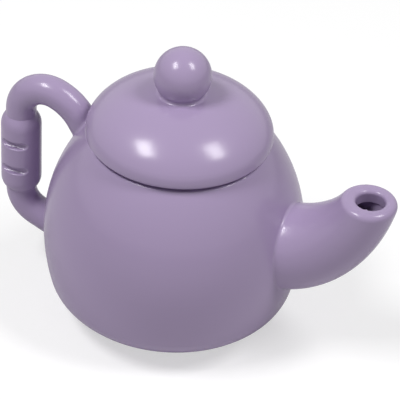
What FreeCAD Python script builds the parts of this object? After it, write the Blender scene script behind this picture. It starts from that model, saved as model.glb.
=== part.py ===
import FreeCAD, Part
import math
import os

from FreeCAD import Matrix, Vector

# Toy teapot in millimetres: a hollow round pot with spout and loop handle, and a loose lid with a ball knob.
# The pot's axis is Z and its foot stands on Z = 0. The spout points along +X and the handle along -X.

# Pot body, turned about Z. The walls swell out to the belly, between a round heel and a round shoulder
BODY_RADIUS = 45.8
BODY_HEIGHT = 72.4
BELLY_SHARE = 0.469
WALL = 2.4
FOOT_INSET = 21.0
HEEL_RISE_SHARE = 0.167
HEEL_RADIUS = 10.6
LOWER_SWELL = 2.34
SHOULDER_WIDTH = 16.8
SHOULDER_DROP = 2.0
SHOULDER_RADIUS = 1.0
SHOULDER_INNER_RADIUS = 2.0
UPPER_SWELL = 1.487

# Mouth of the pot, under the lid
MOUTH_LAND = 3.0
MOUTH_EDGE = 0.6

# Lid, turned about Z, resting on the mouth's land. The dome is part of an oval wider than the rim
LID_OVERHANG = 6.4
LID_SEAT_WIDTH = 1.4
RIM_ROUND = 7.6
DOME_SPREAD = 0.7
DOME_HALF_HEIGHT = 18.8
DOME_LIFT = 0.1
LID_WALL = 2.4
SKIRT_CLEARANCE = 0.35
SKIRT_WALL = 2.0
SKIRT_DEPTH = 5.0
SKIRT_EDGE = 0.5

# Ball knob on the lid
KNOB_RADIUS = 9.9
KNOB_SINK = 3.4
KNOB_FILLET = 1.0

# Spout: two outlines in the XZ plane with oval sections between them
SPOUT_REACH = 24.4
SPOUT_DROP = 3.9
SPOUT_MOUTH_RADIUS = 9.7
SPOUT_ROOT_TOP_SHARE = 0.764
SPOUT_ROOT_BOTTOM_SHARE = 0.329
SPOUT_ROOT_HALF_WIDTH = 15.9
SPOUT_MID_HALF_WIDTH = 13.7
SPOUT_ROOT_TUCK = 8.0
SPOUT_ROOT_LEAN = 2.8
THROAT_DIP = 2.1
THROAT_RUN = 6.2
NECK_RISE = 10.4
NECK_LEAN = 6.0
BELLY_RUN = 16.7
BELLY_LIFT = 0.6
FRONT_RISE = 27.6
FRONT_LEAN = 4.9
SPOUT_SECTIONS = 5
LIP_ROUND = 2.2
SPOUT_ROOT_FILLET = 1.0

# Bore of the spout
HOLE_RADIUS = 5.0
HOLE_ROUND = 1.4
HOLE_STRAIGHT = 4.5
HOLE_STEP = 0.5
SPOUT_ROOT_WALL = 2.6
HOLE_RIB_RADIUS = 1.4
HOLE_RIB_DROP = 0.8

# Handle: a bent tube with a thicker grip
TUBE_RADIUS = 5.4
GRIP_RADIUS = 7.2
GRIP_GAP = 6.2
GRIP_LEAN = 0.8
GRIP_START_SHARE = 0.131
GRIP_LENGTH_SHARE = 0.552
GRIP_SHOULDER = 4.4
HANDLE_RISE = 8.9
TOP_BEND = 10.3
HANDLE_ELBOW_GAP = 7.4
HANDLE_ELBOW_RISE = 0.5
ELBOW_BEND = 18.0
HANDLE_ROOT_GAP = 0.4
HANDLE_ROOT_DROP = 10.7
LOWER_CORNER_SHARE = 0.346
LOWER_BEND = 10.2
LOWER_ROOT_TUCK = 7.0
LOWER_ROOT_SHARE = 0.232
HANDLE_FILLET = 1.2

# Finger grooves cut straight across both sides of the grip
GROOVE_COUNT = 2
GROOVE_PITCH_SHARE = 0.347
GROOVE_WIDTH = 2.8
GROOVE_DEPTH = 2.1
GROOVE_EDGE = 0.45

# Overshoot of cutting tools past the face that they open
CUT_PAST = 2.0

# Places worked out from the sizes
BELLY_HEIGHT = BODY_HEIGHT * BELLY_SHARE
LAND_RADIUS = BODY_RADIUS - SHOULDER_WIDTH
MOUTH_RADIUS = LAND_RADIUS - MOUTH_LAND
LID_RADIUS = MOUTH_RADIUS + LID_OVERHANG
DOME_HALF_WIDTH = LID_RADIUS + DOME_SPREAD
DOME_Z = BODY_HEIGHT + DOME_LIFT
KNOB_Z = DOME_Z + DOME_HALF_HEIGHT - KNOB_SINK + KNOB_RADIUS
SKIRT_OUTER = MOUTH_RADIUS - SKIRT_CLEARANCE
SKIRT_INNER = SKIRT_OUTER - SKIRT_WALL
SPOUT_X = BODY_RADIUS + SPOUT_REACH
SPOUT_HEIGHT = BODY_HEIGHT - SPOUT_DROP
HOLE_BOTTOM = SPOUT_HEIGHT - HOLE_STRAIGHT
GRIP_X = -(BODY_RADIUS + GRIP_GAP + GRIP_RADIUS)
HANDLE_TOP = BODY_HEIGHT + HANDLE_RISE
LOWER_CORNER_HEIGHT = BODY_HEIGHT * LOWER_CORNER_SHARE
HANDLE_HEIGHT = HANDLE_TOP - LOWER_CORNER_HEIGHT
GRIP_LENGTH = HANDLE_HEIGHT * GRIP_LENGTH_SHARE


def at(x, z):
    """Point in the XZ plane."""
    return Vector(x, 0, z)


def line(start, end):
    return Part.LineSegment(start, end).toShape()


def bezier(poles):
    curve = Part.BezierCurve()
    curve.setPoles(poles)
    return curve


def bend(start, corner, end):
    """Smooth edge from start to end that leaves and arrives along the lines to the corner point."""
    fullness = 4.0 / 3.0 * (math.sqrt(2.0) - 1.0)
    poles = [start, start + (corner - start) * fullness, end + (corner - end) * fullness, end]
    return bezier(poles).toShape()


def quarter(start, corner, end):
    """Quarter circle from start to end, rounding over a square corner."""
    centre = start + end - corner
    middle = centre + (corner - centre).normalize() * centre.distanceToPoint(start)
    return Part.Arc(start, middle, end).toShape()


def arc_about(centre, radius, start, end):
    """Short way round a circle in the XZ plane from one point on it to another."""
    middle = centre + ((start - centre) + (end - centre)).normalize() * radius
    return Part.Arc(start, middle, end).toShape()


def turned(edges):
    """Solid of revolution about Z from a closed outline in the XZ plane."""
    face = Part.Face(Part.Wire(edges))
    return face.revolve(Vector(0, 0, 0), Vector(0, 0, 1), 360)


def swelling_wall(slope_start, slope_corner, swell_radius, turn_radius, inset):
    """Outline of a wall that follows a slope, moved in by an inset, then turns and swells out to the belly.

    Gives a point and the direction of the moved slope, the slope's end, and the two arcs beyond it."""
    belly = at(BODY_RADIUS, BELLY_HEIGHT)
    slope = (slope_corner - slope_start).normalize()
    inward = at(-slope.z, slope.x)
    if inward.dot(belly - slope_start) < 0:
        inward = -inward
    slope_point = slope_start + inward * inset
    swell_centre = belly - at(swell_radius, 0)
    moved_radius = swell_radius - inset
    away = slope_point + inward * turn_radius - swell_centre
    ahead = away.dot(slope)
    run = math.sqrt(ahead ** 2 - away.dot(away) + (moved_radius - turn_radius) ** 2) - ahead
    turn_centre = slope_point + inward * turn_radius + slope * run
    outward = (turn_centre - swell_centre).normalize()
    slope_end = slope_point + slope * run
    turn_end = swell_centre + outward * moved_radius
    return slope_point, slope, slope_end, [
        arc_about(turn_centre, turn_radius, slope_end, turn_end),
        arc_about(swell_centre, moved_radius, turn_end, belly - at(inset, 0)),
    ]


def lower_wall(inset):
    """Start and edges of the wall from the foot, or from the floor when moved in, up to the belly."""
    slope_point, slope, slope_end, arcs = swelling_wall(
        at(BODY_RADIUS - FOOT_INSET, 0), at(BODY_RADIUS, BODY_HEIGHT * HEEL_RISE_SHARE),
        BELLY_HEIGHT * LOWER_SWELL, HEEL_RADIUS - inset, inset)
    start = slope_point + slope * ((inset - slope_point.z) / slope.z)
    return start, [line(start, slope_end)] + arcs


def upper_wall(inset, start_radius, turn_radius):
    """Start and edges of the wall from a radius under the lid, round the shoulder, down to the belly."""
    slope_point, slope, slope_end, arcs = swelling_wall(
        at(LAND_RADIUS, BODY_HEIGHT), at(BODY_RADIUS, BODY_HEIGHT - SHOULDER_DROP),
        (BODY_HEIGHT - BELLY_HEIGHT) * UPPER_SWELL, turn_radius, inset)
    start = slope_point + slope * ((start_radius - slope_point.x) / slope.x)
    return start, [line(start, slope_end)] + arcs


def body_outside():
    foot, lower = lower_wall(0)
    land, upper = upper_wall(0, LAND_RADIUS, SHOULDER_RADIUS)
    middle = [line(land, at(0, BODY_HEIGHT)), line(at(0, BODY_HEIGHT), at(0, 0)), line(at(0, 0), foot)]
    return turned(lower + upper[::-1] + middle)


def body_cavity():
    """Inside of the pot, open through the mouth, with the land's inner edge rounded over."""
    floor_edge, lower = lower_wall(WALL)
    ring_foot, upper = upper_wall(WALL, MOUTH_RADIUS, SHOULDER_INNER_RADIUS)
    ring_top = at(MOUTH_RADIUS, BODY_HEIGHT - MOUTH_EDGE)
    edge_top = at(MOUTH_RADIUS + MOUTH_EDGE, BODY_HEIGHT)
    above = at(MOUTH_RADIUS + MOUTH_EDGE, BODY_HEIGHT + CUT_PAST)
    top = at(0, BODY_HEIGHT + CUT_PAST)
    return turned(lower + upper[::-1] + [
        line(ring_foot, ring_top),
        quarter(ring_top, at(MOUTH_RADIUS, BODY_HEIGHT), edge_top),
        line(edge_top, above),
        line(above, top),
        line(top, at(0, WALL)),
        line(at(0, WALL), floor_edge),
    ])


def spout_outlines():
    """Upper and lower outline of the spout as seen from the side."""
    root_x = BODY_RADIUS - SPOUT_ROOT_TUCK
    root_top = BODY_HEIGHT * SPOUT_ROOT_TOP_SHARE
    root_bottom = BODY_HEIGHT * SPOUT_ROOT_BOTTOM_SHARE
    top_root_x = root_x - SPOUT_ROOT_LEAN
    bottom_root_x = root_x + SPOUT_ROOT_LEAN
    throat_x = SPOUT_X - SPOUT_MOUTH_RADIUS
    front_x = SPOUT_X + SPOUT_MOUTH_RADIUS
    upper = bezier([
        at(top_root_x, root_top),
        at(top_root_x + THROAT_RUN, root_top - THROAT_DIP),
        at(throat_x - NECK_LEAN, SPOUT_HEIGHT - NECK_RISE),
        at(throat_x, SPOUT_HEIGHT),
    ])
    lower = bezier([
        at(bottom_root_x, root_bottom),
        at(bottom_root_x + BELLY_RUN, root_bottom + BELLY_LIFT),
        at(front_x - FRONT_LEAN, SPOUT_HEIGHT - FRONT_RISE),
        at(front_x, SPOUT_HEIGHT),
    ])
    return upper, lower


def oval(centre, half_height, half_width):
    """Closed oval wire with one half axis along a given vector and the other along Y."""
    across = Vector(0, half_width, 0)
    normal = half_height.cross(across)
    normal.normalize()
    frame = Matrix(
        half_height.x, across.x, normal.x, centre.x,
        half_height.y, across.y, normal.y, centre.y,
        half_height.z, across.z, normal.z, centre.z,
        0, 0, 0, 1)
    return Part.Wire(Part.makeCircle(1.0).transformGeometry(frame))


def spout_half_width(share):
    """Half the spout's width at a share of its length, by a quadratic blend of three widths."""
    rest = 1.0 - share
    return (rest * rest * SPOUT_ROOT_HALF_WIDTH + 2.0 * rest * share * SPOUT_MID_HALF_WIDTH
            + share * share * SPOUT_MOUTH_RADIUS)


def spout_shares():
    return [index / (SPOUT_SECTIONS - 1) for index in range(SPOUT_SECTIONS)]


def spout_section(share):
    """Centre and half height vector of the spout's section at a share of its length."""
    upper, lower = spout_outlines()
    top = upper.value(share)
    bottom = lower.value(share)
    return (top + bottom) * 0.5, (top - bottom) * 0.5


def spout_outside():
    wires = []
    for share in spout_shares():
        centre, half_height = spout_section(share)
        wires.append(oval(centre, half_height, spout_half_width(share)))
    horn = Part.makeLoft(wires, True, False)
    lip = [edge for edge in horn.Edges if edge.BoundBox.ZMin > SPOUT_HEIGHT - 0.01]
    return horn.makeFillet(LIP_ROUND, lip)


def spout_passage():
    """Tapering passage from the pot's cavity up to a small step under the straight hole in the mouth."""
    mouth_wall = SPOUT_MOUTH_RADIUS - HOLE_RADIUS
    wires = []
    for share in spout_shares()[:-1]:
        centre, half_height = spout_section(share)
        wall = SPOUT_ROOT_WALL + (mouth_wall - SPOUT_ROOT_WALL) * share
        half_height = half_height * (1.0 - wall / half_height.Length)
        wires.append(oval(centre, half_height, spout_half_width(share) - wall))
    end_radius = HOLE_RADIUS + HOLE_STEP
    wires.append(oval(at(SPOUT_X, HOLE_BOTTOM), Vector(-end_radius, 0, 0), end_radius))
    return Part.makeLoft(wires, True, False)


def spout_hole():
    """Straight hole in the mouth, opening out over a rounded edge, less the rib down its side."""
    bottom = HOLE_BOTTOM - CUT_PAST
    top = SPOUT_HEIGHT + CUT_PAST
    flare_radius = HOLE_RADIUS + HOLE_ROUND
    hole = turned([
        line(at(0, bottom), at(HOLE_RADIUS, bottom)),
        line(at(HOLE_RADIUS, bottom), at(HOLE_RADIUS, SPOUT_HEIGHT - HOLE_ROUND)),
        quarter(at(HOLE_RADIUS, SPOUT_HEIGHT - HOLE_ROUND), at(HOLE_RADIUS, SPOUT_HEIGHT),
                at(flare_radius, SPOUT_HEIGHT)),
        line(at(flare_radius, SPOUT_HEIGHT), at(flare_radius, top)),
        line(at(flare_radius, top), at(0, top)),
        line(at(0, top), at(0, bottom)),
    ])
    rib_top = SPOUT_HEIGHT - HOLE_RIB_DROP - HOLE_RIB_RADIUS
    rib_side = Vector(0, -HOLE_RADIUS, 0)
    rib = Part.makeCylinder(HOLE_RIB_RADIUS, rib_top - bottom + CUT_PAST, rib_side + at(0, bottom - CUT_PAST))
    rib = rib.fuse(Part.makeSphere(HOLE_RIB_RADIUS, rib_side + at(0, rib_top)))
    hole = hole.cut(rib)
    hole.translate(at(SPOUT_X, 0))
    return hole


def tangent_path(points, radii):
    """Wire through the points whose inner corners are rounded to the given radii."""
    edges = []
    last = points[0]
    for before, corner, after, radius in zip(points, points[1:], points[2:], radii):
        back = (before - corner).normalize()
        ahead = (after - corner).normalize()
        half_angle = back.getAngle(ahead) / 2.0
        setback = radius / math.tan(half_angle)
        to_centre = (back + ahead).normalize()
        centre_distance = radius / math.sin(half_angle)
        arc_start = corner + back * setback
        arc_middle = corner + to_centre * (centre_distance - radius)
        arc_end = corner + ahead * setback
        edges.append(line(last, arc_start))
        edges.append(Part.Arc(arc_start, arc_middle, arc_end).toShape())
        last = arc_end
    edges.append(line(last, points[-1]))
    return Part.Wire(edges)


def handle_tube():
    """Bent tube from the shoulder, over the top, down the grip and back into the heel."""
    root = at(-(LID_RADIUS + HANDLE_ROOT_GAP), BODY_HEIGHT - HANDLE_ROOT_DROP)
    elbow = at(-(LID_RADIUS + HANDLE_ELBOW_GAP), BODY_HEIGHT + HANDLE_ELBOW_RISE)
    top_corner = at(GRIP_X - GRIP_LEAN, HANDLE_TOP)
    lower_corner = at(GRIP_X, LOWER_CORNER_HEIGHT)
    lower_root = at(-(BODY_RADIUS - LOWER_ROOT_TUCK), BODY_HEIGHT * LOWER_ROOT_SHARE)
    path = tangent_path([root, elbow, top_corner, lower_corner, lower_root],
                        [ELBOW_BEND, TOP_BEND, LOWER_BEND])
    end = Part.Wire(Part.makeCircle(TUBE_RADIUS, root, elbow - root))
    return path.makePipeShell([end], True, False)


def grip():
    """Thick grip with rounded ends and side grooves, turned about its own axis."""
    step = GRIP_RADIUS - TUBE_RADIUS
    end_radius = (GRIP_SHOULDER ** 2 + step ** 2) / (2.0 * step)
    half_turn = math.asin(GRIP_SHOULDER / end_radius) / 2.0
    middle_radius = GRIP_RADIUS - end_radius * (1.0 - math.cos(half_turn))
    middle_offset = end_radius * math.sin(half_turn)
    low = GRIP_SHOULDER
    high = GRIP_LENGTH - GRIP_SHOULDER
    barrel = turned([
        line(at(0, 0), at(TUBE_RADIUS, 0)),
        Part.Arc(at(TUBE_RADIUS, 0), at(middle_radius, low - middle_offset), at(GRIP_RADIUS, low)).toShape(),
        line(at(GRIP_RADIUS, low), at(GRIP_RADIUS, high)),
        Part.Arc(at(GRIP_RADIUS, high), at(middle_radius, high + middle_offset),
                 at(TUBE_RADIUS, GRIP_LENGTH)).toShape(),
        line(at(TUBE_RADIUS, GRIP_LENGTH), at(0, GRIP_LENGTH)),
        line(at(0, GRIP_LENGTH), at(0, 0)),
    ])
    barrel = barrel.cut(finger_grooves())
    rims = [edge for edge in barrel.Edges if is_groove_rim(edge)]
    barrel = barrel.makeFillet(GROOVE_EDGE, rims)
    barrel.rotate(Vector(0, 0, 0), Vector(0, 1, 0), -math.degrees(math.atan2(GRIP_LEAN, HANDLE_HEIGHT)))
    barrel.translate(at(GRIP_X - GRIP_LEAN * GRIP_START_SHARE,
                        LOWER_CORNER_HEIGHT + HANDLE_HEIGHT * GRIP_START_SHARE))
    return barrel


def is_groove_rim(edge):
    """True for the edges where a groove breaks through the outside of the upright grip."""
    points = edge.discretize(5)
    on_skin = all(abs(math.hypot(point.x, point.y) - GRIP_RADIUS) < 0.01 for point in points)
    is_level = edge.BoundBox.ZLength < 0.01
    is_seam = edge.BoundBox.XLength + edge.BoundBox.YLength < 0.01
    return on_skin and not is_seam and not (is_level and is_full_circle(edge))


def is_full_circle(edge):
    return edge.BoundBox.YLength > 2.0 * GRIP_RADIUS - 0.01


def finger_grooves():
    """Slots with round bottoms that run straight across the two sides of the grip."""
    slots = []
    pitch = GRIP_LENGTH * GROOVE_PITCH_SHARE
    bottom_radius = GROOVE_WIDTH / 2.0
    for index in range(GROOVE_COUNT):
        height = GRIP_LENGTH / 2.0 + (index - (GROOVE_COUNT - 1) / 2.0) * pitch
        for side in (-1, 1):
            round_y = side * (GRIP_RADIUS - GROOVE_DEPTH + bottom_radius)
            outside_y = side * (GRIP_RADIUS + CUT_PAST)
            start = Vector(-GRIP_RADIUS, round_y, height)
            slot = Part.makeCylinder(bottom_radius, 2.0 * GRIP_RADIUS, start, Vector(1, 0, 0))
            box = Part.makeBox(2.0 * GRIP_RADIUS, abs(outside_y - round_y), GROOVE_WIDTH,
                               Vector(-GRIP_RADIUS, min(round_y, outside_y), height - bottom_radius))
            slots.append(slot.fuse(box).removeSplitter())
    return Part.makeCompound(slots)


def seam_edges(solid, first, second):
    """Edges of a fused solid that lie where two of its parts meet."""
    seam = first.section(second)
    found = []
    for edge in solid.Edges:
        middle = edge.valueAt((edge.FirstParameter + edge.LastParameter) / 2.0)
        if Part.Vertex(middle).distToShape(seam)[0] < 0.01:
            found.append(edge)
    return found


def pot():
    body = body_outside()
    spout = spout_outside()
    tube = handle_tube()
    solid = body.fuse(spout)
    solid = solid.makeFillet(SPOUT_ROOT_FILLET, seam_edges(solid, body, spout))
    solid = solid.fuse(tube)
    solid = solid.makeFillet(HANDLE_FILLET, seam_edges(solid, body, tube))
    solid = solid.fuse(grip())
    for hollow in (body_cavity(), spout_passage(), spout_hole()):
        solid = solid.cut(hollow)
    return solid


def dome_point(angle, outward=0.0):
    """Point of the lid's dome at an angle from the axis, moved out along the dome's normal."""
    along_r = math.sin(angle)
    along_z = math.cos(angle)
    point = at(DOME_HALF_WIDTH * along_r, DOME_Z + DOME_HALF_HEIGHT * along_z)
    normal = at(along_r / DOME_HALF_WIDTH, along_z / DOME_HALF_HEIGHT).normalize()
    return point + normal * outward


def dome_curve(half_width, half_height, start_angle, end_angle):
    """Part of an oval quarter about the lid's axis, between two angles from that axis."""
    handle = 4.0 / 3.0 * math.tan((end_angle - start_angle) / 4.0)
    poles = []
    for angle, side in ((start_angle, 1), (end_angle, -1)):
        on_curve = at(half_width * math.sin(angle), DOME_Z + half_height * math.cos(angle))
        tangent = at(half_width * math.cos(angle), -half_height * math.sin(angle))
        poles.append((on_curve, on_curve + tangent * handle * side))
    return bezier([poles[0][0], poles[0][1], poles[1][1], poles[1][0]]).toShape()


def dome_angle_where(gap):
    """Dome angle at which a gap that grows with the angle passes through nought."""
    low, high = 0.0, math.pi / 2.0
    for _ in range(60):
        angle = (low + high) / 2.0
        if gap(angle) < 0:
            low = angle
        else:
            high = angle
    return angle


def knob_gap(angle):
    """How far a ball of the fillet's radius on the dome is from touching the knob."""
    return dome_point(angle, KNOB_FILLET).distanceToPoint(at(0, KNOB_Z)) - KNOB_RADIUS - KNOB_FILLET


def rim_gap(angle):
    """How far a ball of the rim's radius inside the dome reaches past the rim."""
    return dome_point(angle, -RIM_ROUND).x + RIM_ROUND - LID_RADIUS


def knob_edges(foot_angle):
    """Outline of the ball from its top down to the fillet's foot on the dome."""
    knob_centre = at(0, KNOB_Z)
    fillet_centre = dome_point(foot_angle, KNOB_FILLET)
    foot = dome_point(foot_angle)
    towards_fillet = (fillet_centre - knob_centre).normalize()
    neck = knob_centre + towards_fillet * KNOB_RADIUS
    between = ((neck - fillet_centre) + (foot - fillet_centre)).normalize()
    ball = Part.Arc(at(0, KNOB_Z + KNOB_RADIUS), at(KNOB_RADIUS, KNOB_Z), neck).toShape()
    fillet = Part.Arc(neck, fillet_centre + between * KNOB_FILLET, foot).toShape()
    return [ball, fillet]


def lid():
    foot_angle = dome_angle_where(knob_gap)
    rim_angle = dome_angle_where(rim_gap)
    rim_start = dome_point(rim_angle)
    rim_centre = dome_point(rim_angle, -RIM_ROUND)
    rim = at(LID_RADIUS, rim_centre.z)
    seat_outer = at(MOUTH_RADIUS + LID_SEAT_WIDTH, BODY_HEIGHT)
    seat_inner = at(SKIRT_OUTER, BODY_HEIGHT)
    skirt_bottom = BODY_HEIGHT - SKIRT_DEPTH
    inner_half_width = DOME_HALF_WIDTH - LID_WALL
    inner_half_height = DOME_HALF_HEIGHT - LID_WALL
    inner_angle = math.asin(SKIRT_INNER / inner_half_width)
    inner_top = at(0, DOME_Z + inner_half_height)
    inner_edge = at(SKIRT_INNER, DOME_Z + inner_half_height * math.cos(inner_angle))
    return turned(knob_edges(foot_angle) + [
        dome_curve(DOME_HALF_WIDTH, DOME_HALF_HEIGHT, foot_angle, rim_angle),
        arc_about(rim_centre, RIM_ROUND, rim_start, rim),
        bend(rim, at(LID_RADIUS, BODY_HEIGHT), seat_outer),
        line(seat_outer, seat_inner),
        line(seat_inner, at(SKIRT_OUTER, skirt_bottom + SKIRT_EDGE)),
        quarter(at(SKIRT_OUTER, skirt_bottom + SKIRT_EDGE), at(SKIRT_OUTER, skirt_bottom),
                at(SKIRT_OUTER - SKIRT_EDGE, skirt_bottom)),
        line(at(SKIRT_OUTER - SKIRT_EDGE, skirt_bottom), at(SKIRT_INNER, skirt_bottom)),
        line(at(SKIRT_INNER, skirt_bottom), inner_edge),
        dome_curve(inner_half_width, inner_half_height, inner_angle, 0.0),
        line(inner_top, at(0, KNOB_Z + KNOB_RADIUS)),
    ])


os.makedirs("parts", exist_ok=True)
for node, moulding in (("pot", pot()), ("lid", lid())):
    moulding.exportStep(f"parts/{node}.step")
    size = moulding.BoundBox
    print(f"{node}: {len(moulding.Solids)} solid, volume {moulding.Volume:.0f} mm3, valid {moulding.isValid()},"
          f" X {size.XMin:.1f}..{size.XMax:.1f}, Y {size.YMin:.1f}..{size.YMax:.1f},"
          f" Z {size.ZMin:.1f}..{size.ZMax:.1f}")
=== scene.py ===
import math

import bpy
from mathutils import Matrix, Quaternion, Vector


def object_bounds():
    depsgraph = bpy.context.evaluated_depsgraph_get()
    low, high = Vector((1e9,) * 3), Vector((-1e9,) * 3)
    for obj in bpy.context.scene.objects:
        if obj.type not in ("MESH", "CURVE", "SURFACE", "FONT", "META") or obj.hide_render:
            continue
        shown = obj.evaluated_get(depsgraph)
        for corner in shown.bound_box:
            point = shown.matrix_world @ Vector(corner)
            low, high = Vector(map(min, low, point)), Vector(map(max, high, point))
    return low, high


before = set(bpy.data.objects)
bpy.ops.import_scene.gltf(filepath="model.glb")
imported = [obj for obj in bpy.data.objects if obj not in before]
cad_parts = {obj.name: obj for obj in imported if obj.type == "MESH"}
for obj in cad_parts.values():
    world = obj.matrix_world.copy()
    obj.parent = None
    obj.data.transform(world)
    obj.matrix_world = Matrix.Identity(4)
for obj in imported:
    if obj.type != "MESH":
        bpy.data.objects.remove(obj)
cad_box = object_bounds()

# Camera, fitted to the outline of the object. Lengths in metres, angles in degrees
CAMERA_AZIMUTH = 20.0
CAMERA_ELEVATION = 37.3
CAMERA_ROLL = 3.8
CAMERA_DISTANCE = 0.936
AIM_RIGHT = 0.01094
AIM_UP = 0.03557
FOCAL_PIXELS = 2600.0
IMAGE_PIXELS = 400.0
SENSOR_MM = 36.0

# Two soft boxes above the object, each with the direction it stands in, its turn and its watts
LAMP_TARGET = Vector((0.0, 0.0, 0.085))
LAMP_DISTANCE = 1.1
LAMP_WIDTH = 0.26
LAMP_LENGTH = 0.44
LEFT_DIRECTION = Vector((-0.380, -0.374, 0.846))
LEFT_TURN = 62.0
LEFT_POWER = 7.5
RIGHT_DIRECTION = Vector((0.547, 0.031, 0.836))
RIGHT_TURN = -30.0
RIGHT_POWER = 5.8

# Room and floor, where SHOWN marks the values for what is seen of them
WHITE = (1.0, 1.0, 1.0, 1.0)
ROOM_LIGHT = 0.18
ROOM_SHOWN = 1.0
FLOOR_HALF = 6.0
FLOOR_BOUNCE = (0.74, 0.74, 0.74, 1.0)
FLOOR_SHOWN = (0.5, 0.5, 0.5, 1.0)
FLOOR_SHOWN_GLOW = 0.55

# Plastic
LILAC = (0.384, 0.299, 0.473, 1.0)
LILAC_DEEP = (0.364, 0.281, 0.453, 1.0)
PLASTIC_ROUGHNESS = 0.22
PLASTIC_IOR = 1.45
CLOUD_SCALE = 22.0
CLOUD_DETAIL = 2.0


def view_axes(azimuth, elevation, roll):
    """Right, up and backward unit vectors of a camera, azimuth 0 looking along +Y."""
    a, e, r = (math.radians(angle) for angle in (azimuth, elevation, roll))
    back = Vector((math.sin(a) * math.cos(e), -math.cos(a) * math.cos(e), math.sin(e)))
    level_right = Vector((math.cos(a), math.sin(a), 0.0))
    level_up = back.cross(level_right)
    right = level_right * math.cos(r) + level_up * math.sin(r)
    up = level_up * math.cos(r) - level_right * math.sin(r)
    return right, up, back


def add_camera():
    """Camera at the photograph's angle, aimed a little right of the frame's origin and above it."""
    right, up, back = view_axes(CAMERA_AZIMUTH, CAMERA_ELEVATION, CAMERA_ROLL)
    place = right * AIM_RIGHT + up * AIM_UP + back * CAMERA_DISTANCE
    data = bpy.data.cameras.new("photo_camera")
    data.sensor_width = SENSOR_MM
    data.lens = FOCAL_PIXELS / IMAGE_PIXELS * SENSOR_MM
    camera = bpy.data.objects.new("photo_camera", data)
    turn = Matrix((right, up, back)).transposed().to_4x4()
    camera.matrix_world = Matrix.Translation(place) @ turn
    bpy.context.scene.collection.objects.link(camera)
    bpy.context.scene.camera = camera


def add_lamp(name, direction, turn, power):
    """Soft box that stands in a direction from the object, faces it and is turned about that line."""
    data = bpy.data.lights.new(name, "AREA")
    data.shape = "RECTANGLE"
    data.size = LAMP_WIDTH
    data.size_y = LAMP_LENGTH
    data.energy = power
    lamp = bpy.data.objects.new(name, data)
    lamp.location = LAMP_TARGET + direction.normalized() * LAMP_DISTANCE
    spin = Quaternion((0.0, 0.0, 1.0), math.radians(turn))
    lamp.rotation_euler = (direction.to_track_quat("Z", "Y") @ spin).to_euler()
    bpy.context.scene.collection.objects.link(lamp)


def add_mix(tree, kind, factor, low, high, target):
    """Feeds a socket low where the factor is 0, high where it is 1, and their mix between."""
    mix = tree.nodes.new("ShaderNodeMix")
    mix.data_type = kind
    mix.inputs["A"].default_value = low
    mix.inputs["B"].default_value = high
    tree.links.new(factor, mix.inputs["Factor"])
    tree.links.new(mix.outputs["Result"], target)


def add_world():
    """Even grey room that fills the shadows, plain white to the camera, in gloss and in glass."""
    world = bpy.data.worlds.new("studio")
    world.use_nodes = True
    tree = world.node_tree
    background = tree.nodes["Background"]
    background.inputs["Color"].default_value = WHITE
    path = tree.nodes.new("ShaderNodeLightPath")
    shown = path.outputs["Is Camera Ray"]
    for ray in ("Is Glossy Ray", "Is Transmission Ray"):
        larger = tree.nodes.new("ShaderNodeMath")
        larger.operation = "MAXIMUM"
        tree.links.new(shown, larger.inputs[0])
        tree.links.new(path.outputs[ray], larger.inputs[1])
        shown = larger.outputs["Value"]
    add_mix(tree, "FLOAT", shown, ROOM_LIGHT, ROOM_SHOWN, background.inputs["Strength"])
    bpy.context.scene.world = world


def new_material(name):
    """A material with its node tree and shader."""
    material = bpy.data.materials.new(name)
    material.use_nodes = True
    return material, material.node_tree, material.node_tree.nodes["Principled BSDF"]


def floor_material():
    """Pale matt floor that the camera sees lighter than the light it bounces onto the object."""
    material, tree, shader = new_material("studio_floor")
    shader.inputs["Roughness"].default_value = 1.0
    shader.inputs["Specular IOR Level"].default_value = 0.0
    shader.inputs["Emission Color"].default_value = WHITE
    seen = tree.nodes.new("ShaderNodeLightPath").outputs["Is Camera Ray"]
    add_mix(tree, "RGBA", seen, FLOOR_BOUNCE, FLOOR_SHOWN, shader.inputs["Base Color"])
    add_mix(tree, "FLOAT", seen, 0.0, FLOOR_SHOWN_GLOW, shader.inputs["Emission Strength"])
    return material


def add_floor():
    """Level square floor at the height of the object's lowest point."""
    height = cad_box[0][2]
    quarters = ((-1, -1), (1, -1), (1, 1), (-1, 1))
    corners = [(x * FLOOR_HALF, y * FLOOR_HALF, height) for x, y in quarters]
    mesh = bpy.data.meshes.new("studio_floor")
    mesh.from_pydata(corners, [], [(0, 1, 2, 3)])
    mesh.materials.append(floor_material())
    floor = bpy.data.objects.new("studio_floor", mesh)
    bpy.context.scene.collection.objects.link(floor)


def plastic_material(name):
    """Glossy moulded lilac plastic with a faint cloudiness in its colour."""
    material, tree, shader = new_material(name)
    shader.inputs["Roughness"].default_value = PLASTIC_ROUGHNESS
    shader.inputs["IOR"].default_value = PLASTIC_IOR
    place = tree.nodes.new("ShaderNodeTexCoord")
    cloud = tree.nodes.new("ShaderNodeTexNoise")
    cloud.inputs["Scale"].default_value = CLOUD_SCALE
    cloud.inputs["Detail"].default_value = CLOUD_DETAIL
    tree.links.new(place.outputs["Object"], cloud.inputs["Vector"])
    add_mix(tree, "RGBA", cloud.outputs["Fac"], LILAC_DEEP, LILAC, shader.inputs["Base Color"])
    return material


def dress(node):
    """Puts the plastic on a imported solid."""
    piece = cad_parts[node]
    piece.data.materials.clear()
    piece.data.materials.append(plastic_material(node + "_plastic"))


add_camera()
add_lamp("left_softbox", LEFT_DIRECTION, LEFT_TURN, LEFT_POWER)
add_lamp("right_softbox", RIGHT_DIRECTION, RIGHT_TURN, RIGHT_POWER)
add_world()
add_floor()
for node in ("pot", "lid"):
    dress(node)

bpy.context.scene.view_settings.view_transform = "Standard"
